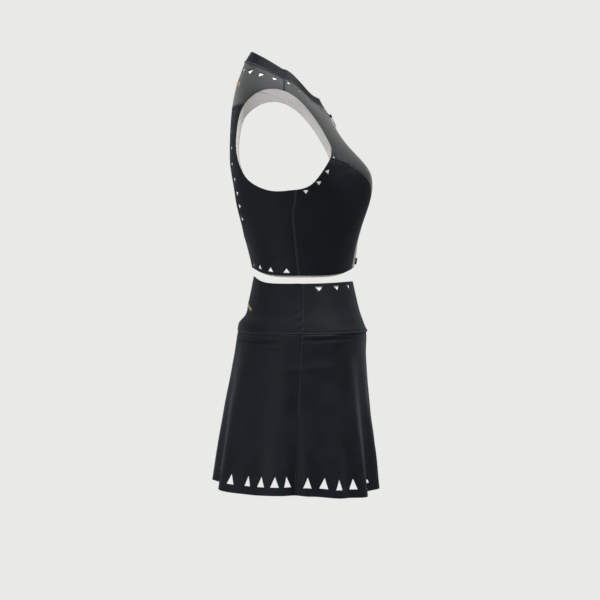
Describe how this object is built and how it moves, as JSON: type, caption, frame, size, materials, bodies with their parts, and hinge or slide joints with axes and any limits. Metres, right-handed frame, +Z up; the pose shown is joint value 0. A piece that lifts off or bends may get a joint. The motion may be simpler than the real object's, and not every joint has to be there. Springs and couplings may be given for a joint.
{
  "type": "cheer uniform",
  "caption": "Sleeveless zip-front crop top with a stand collar and teardrop back, over a short flared skirt with a wide waistband and built-in shorts.",
  "frame": {"origin": "centre of the skirt's waist opening", "axes": "+Z up the body, -Y the way the wearer faces, +X the wearer's left"},
  "size_m": [0.4438, 0.3067, 0.7507],
  "materials": {
    "knit": "smooth warp knit with a soft sheen",
    "upper_knit": "smooth warp knit that catches more light",
    "facing": "thin bonded tape",
    "lining": "fine power mesh",
    "foam": "moulded foam under brushed tricot",
    "elastic": "woven elastic",
    "zip_tape": "woven tape with a moulded coil",
    "zip_metal": "black lacquer",
    "shorts": "matte compression knit",
    "gripper": "silicone bead tape",
    "foil": "heat-pressed foil"
  },
  "bodies": {
    "skirt": {"front_waistband": "knit", "back_waistband": "knit", "front_waist_facing": "facing", "back_waist_facing": "facing", "waist_elastic": "elastic", "front_skirt_panel": "knit", "back_skirt_panel": "knit", "shorts_gusset": "shorts", "right_shorts_leg": "shorts", "left_shorts_leg": "shorts", "right_leg_gripper": "gripper", "left_leg_gripper": "gripper", "waist_foil_bar": "foil"},
    "top": {"right_side_front": "knit", "left_side_front": "knit", "right_centre_front": "upper_knit", "left_centre_front": "upper_knit", "back_yoke": "knit", "right_back": "knit", "left_back": "knit", "stand_collar": "knit", "neck_facing": "facing", "hem_facing": "facing", "right_armhole_facing": "facing", "left_armhole_facing": "facing", "right_keyhole_facing": "facing", "left_keyhole_facing": "facing", "right_front_lining": "lining", "left_front_lining": "lining", "back_lining": "lining", "right_bust_pad": "foam", "left_bust_pad": "foam", "right_zip_tape": "zip_tape", "left_zip_tape": "zip_tape", "right_zip_top_stop": "zip_metal", "left_zip_top_stop": "zip_metal", "zip_retainer_box": "zip_metal", "zip_insertion_pin": "zip_metal", "zip_guard": "knit", "neck_foil_bar": "foil"},
    "zip_slider": {"zip_slider": "zip_metal"},
    "zip_pull": {"zip_pull": "zip_metal"}
  },
  "joints": [
    {"name": "top_lift", "type": "slide", "parent": "skirt", "child": "top", "axis": [0, 0, 1], "range_m": [0, 0.5]},
    {"name": "zip_travel", "type": "hinge", "parent": "top", "child": "zip_slider", "pos_m": [0, 0.284, 0.102], "axis": [1, 0, 0], "range_deg": [0, 34]},
    {"name": "zip_pull_swing", "type": "hinge", "parent": "zip_slider", "child": "zip_pull", "pos_m": [0, -0.04856, 0.29239], "axis": [-1, 0, 0], "range_deg": [0, 160]}
  ]
}
